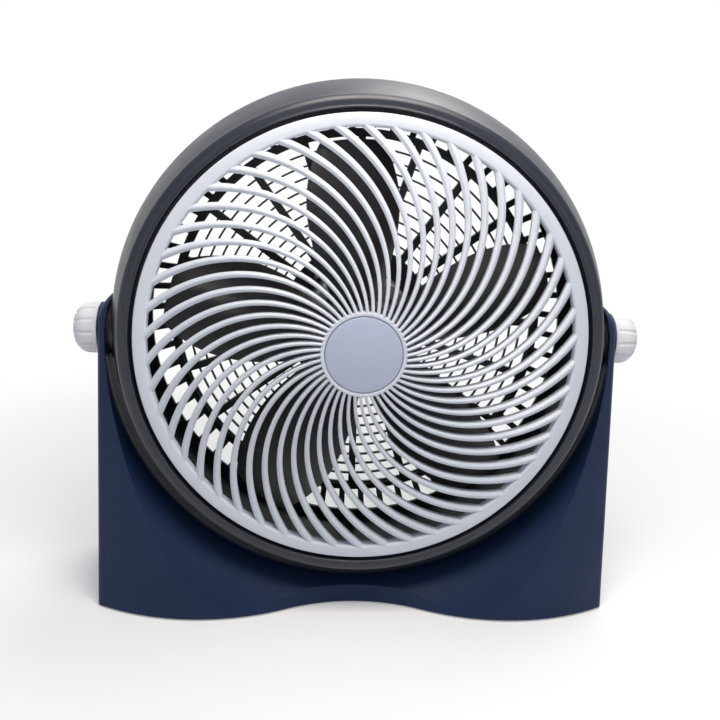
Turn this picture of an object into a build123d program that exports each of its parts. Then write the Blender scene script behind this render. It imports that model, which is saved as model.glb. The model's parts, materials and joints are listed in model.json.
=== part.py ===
"""Air circulator fan: a round head that tilts between the arms of a saddle-shaped base.

Millimetres. +X is to the right seen from the front, the air leaves towards -Y, and +Z is up.
The origin is on the floor, under the middle of the whole fan. Head pieces are made round the
point where the tilt axis meets the propeller axis, base pieces round the point below it on the
floor, and both are put in place when they are written.
"""
from build123d import *
import math
import os

# ---- head, radii from the middle outwards ----
HUB_CAP_R = 27.5          # plain disc in the middle of the front grille
HUB_CAP_GAP = 0.5         # dark groove round the disc
HUB_RIM_W = 3.0           # rim round the groove, where the spokes start
OPENING_R = 155.5         # outer ends of the slots in the front grille
RING_W = 9.5              # plain ring round the slots
RING_GAP = 3.0            # recess between that ring and the head's lip
RIDGE_W = 1.6             # small ridge on the inner edge of the lip
BAND_W = 1.4              # shallow band between the ridge and the roll
ROLL_W = 5.4              # rounded roll of the lip
SWELL = 13.5              # the barrel's widest part stands this far outside the lip
REAR_TAPER = 8.9          # and this far outside the barrel's rear edge
WALL = 2.5                # moulded walls of the head
TIP_GAP = 7.5             # the propeller's tips run this far inside the opening

# ---- head, depths along Y from the tilt axis ----
FACE_DEPTH = 58.0         # front of the ring
SPOKE_RISE = 15.0         # the spokes rise this far forward to the hub
CAP_CROWN = 1.8           # crown of the disc in front of the hub's rim
SPOKE_DEPTH = 8.0         # depth of a spoke
RING_DEPTH = 10.0         # depth of the grille's outer skirt
LIP_BACK = 0.5            # the band lies this far behind the front of the ring
ROLL_RISE = 0.2           # the roll stands this far in front of the band
ROLL_BACK = 8.0           # and ends this far behind it, on the outside
RIDGE_RISE = 1.0          # ridge in front of the band
WIDEST_DEPTH = 15.0       # the barrel is widest this far in front of the tilt axis
RIM_BACK = 38.0           # rear edge of the barrel
PLATE_BACK = 58.0         # front of the plate that carries the motor

# ---- front grille ----
SPOKES = 50
SPOKE_W_HUB = 2.0
SPOKE_W_RING = 4.7
SPOKE_TURN_MID = 21.5     # degrees that a spoke has turned half way out
SPOKE_TURN = 46.5         # degrees that it has turned at the ring
SPOKE_PHASE = 0.9
GRILLE_SCREWS = 6

# ---- rear grille ----
PLATE_R = 63.0
PLATE_T = 3.0
BARS = 20
BAR_W = 6.0
BAR_DEPTH = 5.0
WIRE_PITCH = 9.0
WIRE_W = 1.6
WIRE_DEPTH = 2.5
STOUT_RING_R = 158.0
STOUT_RING_W = 5.0
STOUT_RING_DEPTH = 6.0
SLATS = 60
SLAT_W = 5.0
SLAT_T = 3.0
FLANGE_W = 11.0
FLANGE_T = 3.0
HOUSING_SCREWS = 6

# ---- tilt pivot ----
PIVOT_BOSS_R = 22.0
BOSS_PROUD = 1.4          # the head's bosses stand this far outside the barrel
BOSS_LENGTH = 13.0
WASHER_T = 2.2
WASHER_R = 20.0
STUD_R = 4.0
BUSH_WALL = 2.5
NUT_ACROSS = 13.0
NUT_T = 6.5
KNOB_R = 19.7
KNOB_FLANGE_R = 20.3
KNOB_FLANGE_T = 1.8
KNOB_STRAIGHT = 6.2       # straight side between the flange and the dome
KNOB_DOME_R = 12.0        # rounded shoulder of the dome
KNOB_DOME_TURN = 70.0     # degrees that the shoulder turns before the flatter crown
KNOB_FLUTES = 12
FLUTE_R = 2.4
FLUTE_DEPTH = 0.7

# ---- base ----
TROUGH_GAP = 3.1          # between the barrel and the trough it swings in
TROUGH_DROP = 5.0         # the trough's axis lies this far below the tilt axis
TROUGH_FLOOR = 18.1       # thickness of the base under the middle of the trough
ARM_WALL = 6.0            # thickness of an arm beside the pivot
ARM_LEAN = 4.8            # an arm's outer face leans inwards by this much up to the pivot
ARM_END_R = 28.0          # rounded top of an arm, seen from the side
PAD_ROOM = 1.0            # round the head's boss, in the recess of an arm's inner face
PAD_PROUD = 1.2           # the round pad under a knob stands this far outside the arm
ARM_SHOULDER = 8.0        # an arm's outer face is straight up to this height above the pivot
ARM_SHOULDER_R = 35.0     # and then rounds inwards
ARM_SHOULDER_TURN = 60.0  # degrees, past the arm's rounded top
REAR_FLARE_START = 20.0   # the trough flares from here, behind the tilt axis
REAR_FLARE_R = 200.0
SCOOP_START = 20.0        # the trough turns into a scoop from here, in front of the tilt axis
SCOOP_STEP = 16.0         # distance between the circles below
SCOOP_CIRCLES = (         # how far each one has sunk, and how much wider it is than the trough
    (0, 0), (4.5, 0), (14.5, 6.5), (9, 44))
SCOOP_FRONT = 36.7        # middle of the wavy front wall, in front of the tilt axis
SCOOP_R = 127.7           # hollow of the wave
SCOOP_TURN = 25.3         # degrees
TOE_R = 159.9             # bulge of the wave
TOE_TURN = 14.1           # degrees
CORNER_FRONT = 43.0
FLANK_LEAD = 6.8          # the flank is this much further forward beside the arm's inner face
CORNER_R = 6.0
REAR_BACK = 82.0          # rear wall at the floor
BASE_WALL = 3.0
CAVITY_TOP = 170.0        # the arms are solid above this height
BASE_PLATE_T = 2.5
FOOT_R = 10.0
FOOT_PROUD = 1.5
FOOT_SINK = 1.0
BASE_BOSS_R = 4.5
FOOT_SPREAD_X = 168.0
FOOT_FRONT = 28.0
FOOT_BACK = 56.0
BASE_SCREW_X = 130.0
BASE_SCREW_BITE = 7.0     # length of thread in the base's posts

# ---- propeller ----
BLADES = 5
BLADE_PHASE = 22.5
BLADE_T = 2.2
BLADE_EDGE_T = 1.2
BLADE_CAMBER = 0.07       # share of the chord
PROP_HUB_R = 33.0
PROP_HUB_FRONT = 50.0
PROP_HUB_LENGTH = 44.0
PROP_BOSS_R = 9.0
BLADE_MID = 25.0          # middle of the blades, in front of the tilt axis
PIN_R = 1.5
PIN_LENGTH = 17.0
SPINNER_R = 11.0
SPINNER_LENGTH = 9.0

# ---- motor ----
SHAFT_R = 4.0
MOTOR_R = 45.0
MOTOR_LENGTH = 54.0
END_WALL = 2.5
END_LAP = 25.0            # each end bell reaches this far along the motor
STACK_LENGTH = 30.0
STACK_BORE_R = 24.0
AIR_GAP = 0.5
COIL_IN_R = 27.0
COIL_OUT_R = 39.0
COIL_LENGTH = 7.0
BEARING_R = 9.0
BEARING_LENGTH = 8.0
BEARING_BOSS_WALL = 3.0
MOTOR_SCREW_CIRCLE_R = 33.0
MOTOR_SCREWS = 4
MOTOR_SCREW_TURN = 45.0

# ---- motor cover, switch and dial ----
COVER_R = 61.0
COVER_DEPTH = 37.0
COVER_ROUND = 9.0
COVER_SCREW_CIRCLE_R = 50.0
COVER_SCREWS = 4
COVER_POST_R = 6.0
COVER_POST_FLOOR = 9.0    # the screw heads sit this far behind the plate
VENTS = 24
VENT_W = 3.0
VENT_INNER_R = 27.0
VENT_LENGTH = 13.0
SWITCH_W = 30.0
SWITCH_H = 22.0
SWITCH_DEPTH = 16.0
SWITCH_NECK_R = 4.5
SWITCH_NECK_LENGTH = 2.6  # behind the cover
SWITCH_NUT_ACROSS = 12.0
SWITCH_NUT_T = 2.2
SPINDLE_R = 3.0
DIAL_R = 17.0
DIAL_LENGTH = 14.0
DIAL_TOP_T = 4.0
DIAL_GRIP_W = 7.0
DIAL_GRIP_DEPTH = 6.0
CAPACITOR_W = 34.0
CAPACITOR_H = 14.0
CAPACITOR_DEPTH = 24.0
GLAND_R = 6.0
GLAND_BORE_R = 3.4
GLAND_LIP = 2.0
WIRE_R = 1.1
WIRES = 3

# ---- screws and clearances ----
SMALL_SCREW_R = 1.5
SMALL_HEAD_R = 2.8
SMALL_HEAD_T = 2.0
SCREW_R = 2.0
HEAD_R = 3.6
HEAD_T = 2.4
BOSS_WALL = 1.3
FIT = 0.05                # round a shaft, a pin or a screw
SEAT = 0.3                # between pieces that move past each other

# ---- worked out ----
HUB_R = HUB_CAP_R + HUB_CAP_GAP + HUB_RIM_W
RING_R = OPENING_R + RING_W
RECESS_R = RING_R + RING_GAP
LIP_R = RECESS_R + RIDGE_W + BAND_W + ROLL_W
BARREL_R = LIP_R + SWELL
REAR_RIM_R = BARREL_R - REAR_TAPER
PROP_R = OPENING_R - TIP_GAP
FACE_Y = -FACE_DEPTH
HUB_Y = FACE_Y - SPOKE_RISE
LEDGE_Y = FACE_Y + RING_DEPTH
BAND_Y = FACE_Y + LIP_BACK
PLATE_REAR_Y = PLATE_BACK + PLATE_T
COVER_Y = PLATE_REAR_Y + COVER_DEPTH
BOSS_X = BARREL_R + BOSS_PROUD
PAD_X = BOSS_X + WASHER_T + SEAT
TROUGH_R = BARREL_R + TROUGH_GAP
ARM_X = TROUGH_R + ARM_WALL
BASE_HALF_W = ARM_X + ARM_LEAN
BUSH_R = STUD_R + FIT + BUSH_WALL
KNOB_X = ARM_X + PAD_PROUD + SEAT
KNOB_DOME_X = KNOB_X + KNOB_FLANGE_T + KNOB_STRAIGHT
KNOB_STUD_X = KNOB_DOME_X + KNOB_DOME_R / 2
PIVOT_Z = TROUGH_R + TROUGH_DROP + TROUGH_FLOOR + FOOT_PROUD
DIAL_Y = COVER_Y + SWITCH_NECK_LENGTH + SEAT
FRONT_Y = HUB_Y - CAP_CROWN
BACK_Y = max(DIAL_Y + DIAL_LENGTH, REAR_BACK)
PIVOT_Y = -(FRONT_Y + BACK_Y) / 2
MOTOR_Y = PLATE_BACK - MOTOR_LENGTH
STACK_Y = MOTOR_Y + (MOTOR_LENGTH - STACK_LENGTH) / 2
PROP_Y = -PROP_HUB_FRONT
SPINNER_Y = PROP_Y - SPINNER_LENGTH
LEDGE_T = WALL
GRILLE_SCREW_R = OPENING_R + RING_W / 2
HOUSING_SCREW_R = REAR_RIM_R - FLANGE_W / 2
REACH = 4 * BARREL_R      # longer than anything here, for cutting tools


def knob_tip():
    """Outer end of a knob: its shoulder turns so far, and the crown goes on at that slope."""
    turn = math.radians(KNOB_DOME_TURN)
    shoulder_r = KNOB_R - KNOB_DOME_R * (1 - math.cos(turn))
    crown = shoulder_r * math.tan((math.pi / 2 - turn) / 2)
    return KNOB_DOME_X + KNOB_DOME_R * math.sin(turn) + crown


KNOB_TIP_X = knob_tip()


# ---- small helpers ----
def outline(start, *steps):
    """A face from a start and steps: a point is a straight line, a pair of points an arc."""
    edges = []
    here = start
    for step in steps:
        if isinstance(step[0], tuple):
            edges.append(ThreePointArc(here, step[0], step[1]))
            here = step[1]
        else:
            edges.append(Line(here, step))
            here = step
    edges.append(Line(here, start))
    return make_face(edges)


def lathe(start, *steps):
    """Turn an outline of (radius, y) points about the propeller axis."""
    return revolve(outline(start, *steps), Axis.Y)


def rod_y(radius, y0, y1, x=0, z=0):
    return Pos(x, (y0 + y1) / 2, z) * Rot(90, 0, 0) * Cylinder(radius, y1 - y0)


def tube_y(outer, inner, y0, y1):
    return rod_y(outer, y0, y1) - rod_y(inner, y0 - 1, y1 + 1)


def rod_x(radius, x0, x1):
    return Pos((x0 + x1) / 2, 0, 0) * Rot(0, 90, 0) * Cylinder(radius, abs(x1 - x0))


def block(x0, x1, y0, y1, z0, z1):
    centre = Pos((x0 + x1) / 2, (y0 + y1) / 2, (z0 + z1) / 2)
    return centre * Box(abs(x1 - x0), abs(y1 - y0), abs(z1 - z0))


def hexagon_x(across, x0, x1):
    plate = RegularPolygon(across / 2, 6, major_radius=False)
    return Plane(origin=(x0, 0, 0), z_dir=(1, 0, 0)) * extrude(plate, x1 - x0)


def hexagon_y(across, y0, y1):
    plate = RegularPolygon(across / 2, 6, major_radius=False)
    return Plane(origin=(0, y0, 0), z_dir=(0, 1, 0)) * extrude(plate, y1 - y0)


def around(shape, count, phase=0.0):
    """Copies about the propeller axis, counted anticlockwise from +X seen from the front."""
    return [Rot(0, -phase - 360 * i / count, 0) * shape for i in range(count)]


def cap_middle(radius, rise):
    """Middle of a ball-shaped cap's outline, as its radius and its depth below the crown."""
    ball = (radius ** 2 + rise ** 2) / (2 * rise)
    half = math.asin(radius / ball) / 2
    return (ball * math.sin(half), ball * (1 - math.cos(half)))


def screw_y(radius, head_radius, head_t, seat_y, length, toward_front=True):
    """A pan-head screw on the +X side; its head stands behind seat_y unless told otherwise."""
    sign = 1 if toward_front else -1
    shank = rod_y(radius, *sorted((seat_y, seat_y - sign * length)))
    head = rod_y(head_radius, *sorted((seat_y, seat_y + sign * head_t)))
    slot = block(-head_radius, head_radius, seat_y + sign * head_t * 0.5,
                 seat_y + sign * (head_t + 1), -radius / 3, radius / 3)
    return shank + head - slot


def mirrored(shape):
    return mirror(shape, Plane.YZ)


# ---- front grille ----
def spoke_line(radius):
    """Degrees that the middle of a spoke has turned at this radius."""
    share = (radius - HUB_R) / (OPENING_R - HUB_R)
    bend = 2 * SPOKE_TURN - 4 * SPOKE_TURN_MID
    return share * (4 * SPOKE_TURN_MID - SPOKE_TURN) + share * share * bend


def spoke_edge(radius, side):
    """A point (x, z) on one side of a spoke."""
    share = (radius - HUB_R) / (OPENING_R - HUB_R)
    half = side * (SPOKE_W_HUB + share * (SPOKE_W_RING - SPOKE_W_HUB)) / 2
    step = 0.5
    turn = math.radians(spoke_line(radius + step) - spoke_line(radius - step))
    lean = math.atan(radius * turn / (2 * step))
    angle = math.radians(spoke_line(radius))
    out = -half * math.sin(lean)
    across = half * math.cos(lean)
    x = (radius + out) * math.cos(angle) - across * math.sin(angle)
    z = (radius + out) * math.sin(angle) + across * math.cos(angle)
    return (x, z)


def spoke():
    """One curved spoke, cut to the cone that all the spokes lie in."""
    inner = HUB_R - HUB_RIM_W / 3
    outer = OPENING_R + RING_W / 4
    middle = (inner + outer) / 2
    a, b, c = (spoke_edge(r, -1) for r in (inner, middle, outer))
    d, e, f = (spoke_edge(r, 1) for r in (outer, middle, inner))
    sheet = Plane.XZ * outline(a, (b, c), d, (e, f))
    blade = extrude(sheet, amount=REACH, both=True)
    slope = SPOKE_RISE / (OPENING_R - HUB_R)
    in_r = inner - 1
    out_r = outer + 1
    in_y = FACE_Y - slope * (OPENING_R - in_r)
    out_y = FACE_Y - slope * (OPENING_R - out_r)
    cone = lathe((in_r, in_y), (out_r, out_y), (out_r, out_y + SPOKE_DEPTH),
                 (in_r, in_y + SPOKE_DEPTH))
    return blade & cone


def front_grille():
    channel = RING_W / 4
    ring = lathe((OPENING_R, FACE_Y), (RING_R - 1, FACE_Y), (RING_R, FACE_Y + 1),
                 (RING_R, LEDGE_Y), (RING_R - channel, LEDGE_Y),
                 (RING_R - channel, FACE_Y + WALL), (OPENING_R + channel, FACE_Y + WALL),
                 (OPENING_R + channel, FACE_Y + SPOKE_DEPTH), (OPENING_R, FACE_Y + SPOKE_DEPTH))
    seat_r = HUB_CAP_R + HUB_CAP_GAP
    hub = lathe((0, HUB_Y + WALL), (seat_r, HUB_Y + WALL), (seat_r, HUB_Y + 0.4),
                (seat_r + 0.4, HUB_Y), (HUB_R - 0.6, HUB_Y), (HUB_R, HUB_Y + 0.6),
                (HUB_R, HUB_Y + SPOKE_DEPTH), (seat_r, HUB_Y + SPOKE_DEPTH),
                (seat_r, HUB_Y + 2 * WALL), (0, HUB_Y + 2 * WALL))
    post = rod_y(SMALL_SCREW_R + FIT + BOSS_WALL, FACE_Y + WALL / 2, LEDGE_Y, x=GRILLE_SCREW_R)
    posts = around(post, GRILLE_SCREWS, 30)
    pilot = rod_y(SMALL_SCREW_R + FIT, FACE_Y + WALL, LEDGE_Y + 1, x=GRILLE_SCREW_R)
    body = ring + hub + around(spoke(), SPOKES, SPOKE_PHASE) + posts
    return body - around(pilot, GRILLE_SCREWS, 30)


def hub_cap():
    edge = 0.5
    rim = HUB_Y + 0.2
    crown = HUB_Y - CAP_CROWN
    middle = cap_middle(HUB_CAP_R - edge, rim - crown)
    middle = (middle[0], crown + middle[1])
    return lathe((0, crown), (middle, (HUB_CAP_R - edge, rim)), (HUB_CAP_R, rim + edge),
                 (HUB_CAP_R, HUB_Y + WALL), (0, HUB_Y + WALL))


def grille_screws():
    length = LEDGE_T + RING_DEPTH - WALL - 1
    one = Pos(GRILLE_SCREW_R, 0, 0) * screw_y(SMALL_SCREW_R, SMALL_HEAD_R, SMALL_HEAD_T,
                                              LEDGE_Y + LEDGE_T, length)
    return around(one, GRILLE_SCREWS, 30)


# ---- barrel with its rolled lip ----
def front_bezel():
    """One moulding: lip, recess, ledge for the grille, barrel and the two pivot bosses."""
    ridge_in = (RECESS_R, BAND_Y)
    ridge_top = (RECESS_R + RIDGE_W / 2, BAND_Y - RIDGE_RISE)
    ridge_out = (RECESS_R + RIDGE_W, BAND_Y)
    band_out = (RECESS_R + RIDGE_W + BAND_W, BAND_Y)
    roll_top = (LIP_R - ROLL_W / 2, BAND_Y - ROLL_RISE)
    roll_out = (LIP_R, BAND_Y + ROLL_BACK)
    widest = (BARREL_R, -WIDEST_DEPTH)
    swell_y = (BAND_Y + ROLL_BACK - WIDEST_DEPTH) / 2
    swell_mid = (LIP_R + SWELL * 0.6, swell_y)
    rim = (REAR_RIM_R, RIM_BACK)
    taper_mid = (BARREL_R - REAR_TAPER * 0.32, (RIM_BACK - WIDEST_DEPTH) / 2)

    def inside(point, back=0.0):
        return (point[0] - WALL, point[1] + back)

    ledge_in = OPENING_R + 1.5
    inner_wall = RECESS_R + WALL
    shell = lathe((RECESS_R, LEDGE_Y), ridge_in, (ridge_top, ridge_out), band_out,
                  (roll_top, roll_out), (swell_mid, widest), (taper_mid, rim), inside(rim),
                  (inside(taper_mid), inside(widest)), (inside(swell_mid), inside(roll_out, WALL)),
                  (band_out[0], BAND_Y + WALL), (inner_wall, BAND_Y + WALL),
                  (inner_wall, LEDGE_Y + LEDGE_T), (ledge_in, LEDGE_Y + LEDGE_T),
                  (ledge_in, LEDGE_Y))
    boss = rod_x(PIVOT_BOSS_R, BOSS_X - BOSS_LENGTH, BOSS_X)
    post = rod_y(SCREW_R + FIT + BOSS_WALL, RIM_BACK - 12, RIM_BACK, x=HOUSING_SCREW_R)
    web = block(HOUSING_SCREW_R, REAR_RIM_R - WALL / 2, RIM_BACK - 12, RIM_BACK, -1.5, 1.5)
    body = shell + [boss, mirrored(boss)]
    body = body + around(post + web, HOUSING_SCREWS, 30)
    pocket = hexagon_x(NUT_ACROSS + 2 * FIT, BOSS_X - BOSS_LENGTH - 1, BOSS_X - BOSS_LENGTH + NUT_T)
    bore = rod_x(STUD_R + FIT, BOSS_X - BOSS_LENGTH - 1, BOSS_X + 1)
    grille_hole = rod_y(SMALL_SCREW_R + FIT, LEDGE_Y - 1, LEDGE_Y + LEDGE_T + 1, x=GRILLE_SCREW_R)
    rim_hole = rod_y(SCREW_R + FIT, RIM_BACK - 11, RIM_BACK + 1, x=HOUSING_SCREW_R)
    body = body - [pocket, mirrored(pocket), bore, mirrored(bore)]
    body = body - around(grille_hole, GRILLE_SCREWS, 30)
    return body - around(rim_hole, HOUSING_SCREWS, 30)


def pivot_washer():
    return rod_x(WASHER_R, BOSS_X, BOSS_X + WASHER_T) - rod_x(STUD_R + FIT, 0, REACH)


def pivot_nut():
    start = BOSS_X - BOSS_LENGTH
    return hexagon_x(NUT_ACROSS, start, start + NUT_T) - rod_x(STUD_R + FIT, 0, REACH)


def knob_stud():
    return rod_x(STUD_R, BOSS_X - BOSS_LENGTH, KNOB_STUD_X)


def tilt_knob():
    """A domed hand knob with shallow flutes and a thin flange beside the arm."""
    flange_x = KNOB_X + KNOB_FLANGE_T
    edge = 0.6
    middle_r = KNOB_R - KNOB_DOME_R

    def dome(turn, out=0.0):
        """A point (radius, x) on the knob's rounded shoulder, or this far outside it."""
        angle = math.radians(turn)
        reach = KNOB_DOME_R + out
        return (middle_r + reach * math.cos(angle), KNOB_DOME_X + reach * math.sin(angle))

    shoulder = dome(KNOB_DOME_TURN)
    crown = cap_middle(shoulder[0], KNOB_TIP_X - shoulder[1])
    crown = (crown[0], KNOB_TIP_X - crown[1])
    face = outline((0, KNOB_X), (KNOB_FLANGE_R - edge, KNOB_X), (KNOB_FLANGE_R, KNOB_X + edge),
                   (KNOB_FLANGE_R, flange_x), (KNOB_R, flange_x), (KNOB_R, KNOB_DOME_X),
                   (dome(KNOB_DOME_TURN / 2), shoulder), (crown, (0, KNOB_TIP_X)))
    lay = Rot(0, 0, -90)
    out = FLUTE_R - FLUTE_DEPTH
    start = (KNOB_R + out, flange_x + 0.6)
    last = KNOB_DOME_TURN * 0.8
    route = Line(start, dome(0, out)) + ThreePointArc(dome(0, out), dome(last / 2, out),
                                                      dome(last, out))
    flute = sweep(Plane(origin=start, z_dir=(0, 1, 0)) * Circle(FLUTE_R), path=route)
    flutes = [Rot(360 * i / KNOB_FLUTES, 0, 0) * lay * flute for i in range(KNOB_FLUTES)]
    socket = rod_x(STUD_R + FIT, KNOB_X - 1, KNOB_STUD_X + FIT)
    return lay * revolve(face, Axis.Y) - flutes - socket


# ---- rear grille ----
def slat():
    """One slat of the sloping side between the stout ring and the flange."""
    low = (STOUT_RING_R - STOUT_RING_W / 2, PLATE_REAR_Y)
    high = (REAR_RIM_R - FLANGE_W / 2, RIM_BACK + FLANGE_T)
    drop = SLAT_T * 1.4
    face = outline(low, high, (high[0], high[1] - drop / 2), (low[0], low[1] - drop))
    return extrude(face, amount=SLAT_W / 2, both=True)


def rear_grille():
    """Rear guard: motor plate, straight bars, thin wires, a stout ring and a slatted side."""
    plate = rod_y(PLATE_R, PLATE_BACK, PLATE_REAR_Y)
    bar = block(PLATE_R - 2, STOUT_RING_R - STOUT_RING_W / 2, PLATE_REAR_Y - BAR_DEPTH,
                PLATE_REAR_Y, -BAR_W / 2, BAR_W / 2)
    wires = []
    count = int((STOUT_RING_R - STOUT_RING_W - PLATE_R) / WIRE_PITCH)
    for i in range(1, count + 1):
        radius = PLATE_R + i * WIRE_PITCH
        wires.append(tube_y(radius, radius - WIRE_W, PLATE_BACK, PLATE_BACK + WIRE_DEPTH))
    stout = tube_y(STOUT_RING_R, STOUT_RING_R - STOUT_RING_W, PLATE_REAR_Y - STOUT_RING_DEPTH,
                   PLATE_REAR_Y)
    flange = tube_y(REAR_RIM_R, REAR_RIM_R - FLANGE_W, RIM_BACK, RIM_BACK + FLANGE_T)
    body = plate + wires + around(bar, BARS) + stout + around(slat(), SLATS, 3) + flange
    hole = rod_y(SCREW_R + FIT, RIM_BACK - 1, PLATE_REAR_Y, x=HOUSING_SCREW_R)
    counter = rod_y(HEAD_R + SEAT, RIM_BACK + FLANGE_T, PLATE_REAR_Y, x=HOUSING_SCREW_R)
    body = body - around(hole, HOUSING_SCREWS, 30) - around(counter, HOUSING_SCREWS, 30)
    motor_hole = rod_y(SCREW_R + FIT, PLATE_BACK - 1, PLATE_REAR_Y + 1, x=MOTOR_SCREW_CIRCLE_R)
    body = body - around(motor_hole, MOTOR_SCREWS, MOTOR_SCREW_TURN)
    cover_hole = rod_y(SCREW_R + FIT, PLATE_BACK - 1, PLATE_REAR_Y + 1, x=COVER_SCREW_CIRCLE_R)
    body = body - around(cover_hole, COVER_SCREWS, 45)
    middle = rod_y(BEARING_R + BEARING_BOSS_WALL, PLATE_BACK - 1, PLATE_REAR_Y + 1)
    return body - middle - lead_slot(PLATE_BACK - 1, PLATE_REAR_Y + 1)


def housing_screws():
    one = Pos(HOUSING_SCREW_R, 0, 0) * screw_y(SCREW_R, HEAD_R, HEAD_T, RIM_BACK + FLANGE_T,
                                               FLANGE_T + 10)
    return around(one, HOUSING_SCREWS, 30)


# ---- motor ----
def end_bell(y0, y1, holes):
    """A cup with its flat end at y0, which holds a bearing and laps over the stator."""
    sign = 1 if y1 > y0 else -1
    cup = tube_y(MOTOR_R, MOTOR_R - END_WALL, *sorted((y0, y0 + sign * END_LAP)))
    floor = rod_y(MOTOR_R, *sorted((y0, y0 + sign * END_WALL)))
    boss = rod_y(BEARING_R + BEARING_BOSS_WALL, *sorted((y0, y0 + sign * (BEARING_LENGTH + 2))))
    bore = rod_y(SHAFT_R + 1, y0 - END_LAP, y0 + END_LAP)
    seat = rod_y(BEARING_R, *sorted((y0 + sign * 2, y0 + sign * END_LAP)))
    return cup + floor + boss - bore - seat - holes


def motor_end_front():
    window = rod_y(4, MOTOR_Y - 1, MOTOR_Y + END_WALL + 1, x=(COIL_IN_R + COIL_OUT_R) / 2)
    return end_bell(MOTOR_Y, MOTOR_Y + MOTOR_LENGTH, around(window, 8))


def motor_end_rear():
    hole = rod_y(SCREW_R + FIT, PLATE_BACK - END_WALL - 1, PLATE_BACK + 1, x=MOTOR_SCREW_CIRCLE_R)
    holes = around(hole, MOTOR_SCREWS, MOTOR_SCREW_TURN)
    slot = lead_slot(PLATE_BACK - END_WALL - 1, PLATE_BACK + 1)
    return end_bell(PLATE_BACK, MOTOR_Y, holes + [slot])


def stator_core():
    slot = block(STACK_BORE_R - 1, COIL_IN_R + 4, STACK_Y - 1, STACK_Y + STACK_LENGTH + 1, -2, 2)
    ring = tube_y(MOTOR_R - END_WALL, STACK_BORE_R, STACK_Y, STACK_Y + STACK_LENGTH)
    return ring - around(slot, 12)


def stator_windings():
    front = tube_y(COIL_OUT_R, COIL_IN_R, STACK_Y - COIL_LENGTH, STACK_Y)
    rear_y = STACK_Y + STACK_LENGTH
    return [front, tube_y(COIL_OUT_R, COIL_IN_R, rear_y, rear_y + COIL_LENGTH)]


def rotor_core():
    return tube_y(STACK_BORE_R - AIR_GAP, SHAFT_R, STACK_Y, STACK_Y + STACK_LENGTH)


def motor_shaft():
    pin_y = PROP_Y + PROP_HUB_LENGTH / 2 + PIN_R
    cross = Pos(0, pin_y, 0) * rod_x(PIN_R + FIT, -REACH, REACH)
    return rod_y(SHAFT_R, SPINNER_Y + 2, PLATE_BACK) - cross


def bearing(y0, y1):
    return tube_y(BEARING_R, SHAFT_R + FIT, *sorted((y0, y1)))


def motor_screws():
    one = Pos(MOTOR_SCREW_CIRCLE_R, 0, 0) * screw_y(SCREW_R, HEAD_R, HEAD_T, PLATE_REAR_Y,
                                                    PLATE_T + END_WALL)
    return around(one, MOTOR_SCREWS, MOTOR_SCREW_TURN)


# ---- propeller ----
def blade_section(radius, chord, pitch):
    """A thin curved section of a blade, square to the +X line that the blade lies along."""
    angle = math.radians(pitch)
    along = (-math.sin(angle), math.cos(angle))      # towards the trailing edge, as (y, z)
    normal = (-math.cos(angle), -math.sin(angle))    # towards the front, as (y, z)
    camber = BLADE_CAMBER * chord

    def point(share, lift):
        y = -BLADE_MID + share * chord * along[0] + lift * normal[0]
        return (radius, y, share * chord * along[1] + lift * normal[1])

    edge = BLADE_EDGE_T / 2
    half = BLADE_T / 2
    front = ThreePointArc(point(-0.5, edge), point(0, camber + half), point(0.5, edge))
    end = Line(point(0.5, edge), point(0.5, -edge))
    back = ThreePointArc(point(0.5, -edge), point(0, camber - half), point(-0.5, -edge))
    start = Line(point(-0.5, -edge), point(-0.5, edge))
    return Face(Wire([front, end, back, start]))


def blade():
    """One blade along +X: chord and pitch at five places from the hub to the tip."""
    span = PROP_R - PROP_HUB_R
    places = ((-0.07, 46, 46), (0.28, 72, 36), (0.57, 78, 28), (0.83, 66, 23), (1.01, 44, 20))
    sections = [blade_section(PROP_HUB_R + share * span, chord, pitch)
                for share, chord, pitch in places]
    return loft(sections)


def propeller():
    wall = 2.5
    rear = PROP_Y + PROP_HUB_LENGTH
    inner = PROP_HUB_R - wall
    cup = lathe((0, PROP_Y), (PROP_HUB_R - 6, PROP_Y),
                ((PROP_HUB_R - 1.76, PROP_Y + 1.76), (PROP_HUB_R, PROP_Y + 6)),
                (PROP_HUB_R, rear), (inner, rear), (inner, PROP_Y + 2 * wall),
                (0, PROP_Y + 2 * wall))
    boss_end = PROP_Y + PROP_HUB_LENGTH / 2
    boss = rod_y(PROP_BOSS_R, PROP_Y + wall, boss_end + 2 * PIN_R)
    rib = block(SHAFT_R + 2, inner + 1, PROP_Y + wall, PROP_Y + PROP_HUB_LENGTH / 2, -1, 1)
    envelope = rod_y(PROP_R, -REACH, REACH) - rod_y(inner, -REACH, REACH)
    blades = [one & envelope for one in around(blade(), BLADES, BLADE_PHASE)]
    body = cup + blades + boss + around(rib, 6)
    bore = rod_y(SHAFT_R + FIT, PROP_Y - 1, rear)
    groove = block(-PIN_LENGTH / 2 - 0.2, PIN_LENGTH / 2 + 0.2, boss_end, boss_end + 2 * PIN_R + 1,
                   -PIN_R - FIT, PIN_R + FIT)
    return body - bore - groove


def drive_pin():
    pin_y = PROP_Y + PROP_HUB_LENGTH / 2 + PIN_R
    return Pos(0, pin_y, 0) * rod_x(PIN_R, -PIN_LENGTH / 2, PIN_LENGTH / 2)


def propeller_nut():
    """A domed nut with grips, on the front end of the shaft."""
    rise = 4
    middle = cap_middle(SPINNER_R, rise)
    middle = (middle[0], SPINNER_Y + middle[1])
    nut = lathe((0, SPINNER_Y), (middle, (SPINNER_R, SPINNER_Y + rise)),
                (SPINNER_R, PROP_Y), (0, PROP_Y))
    grip = rod_y(1.5, SPINNER_Y - 1, PROP_Y + 1, x=SPINNER_R + 0.6)
    return nut - around(grip, 10) - rod_y(SHAFT_R + FIT, SPINNER_Y + 2, PROP_Y + 1)


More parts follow.
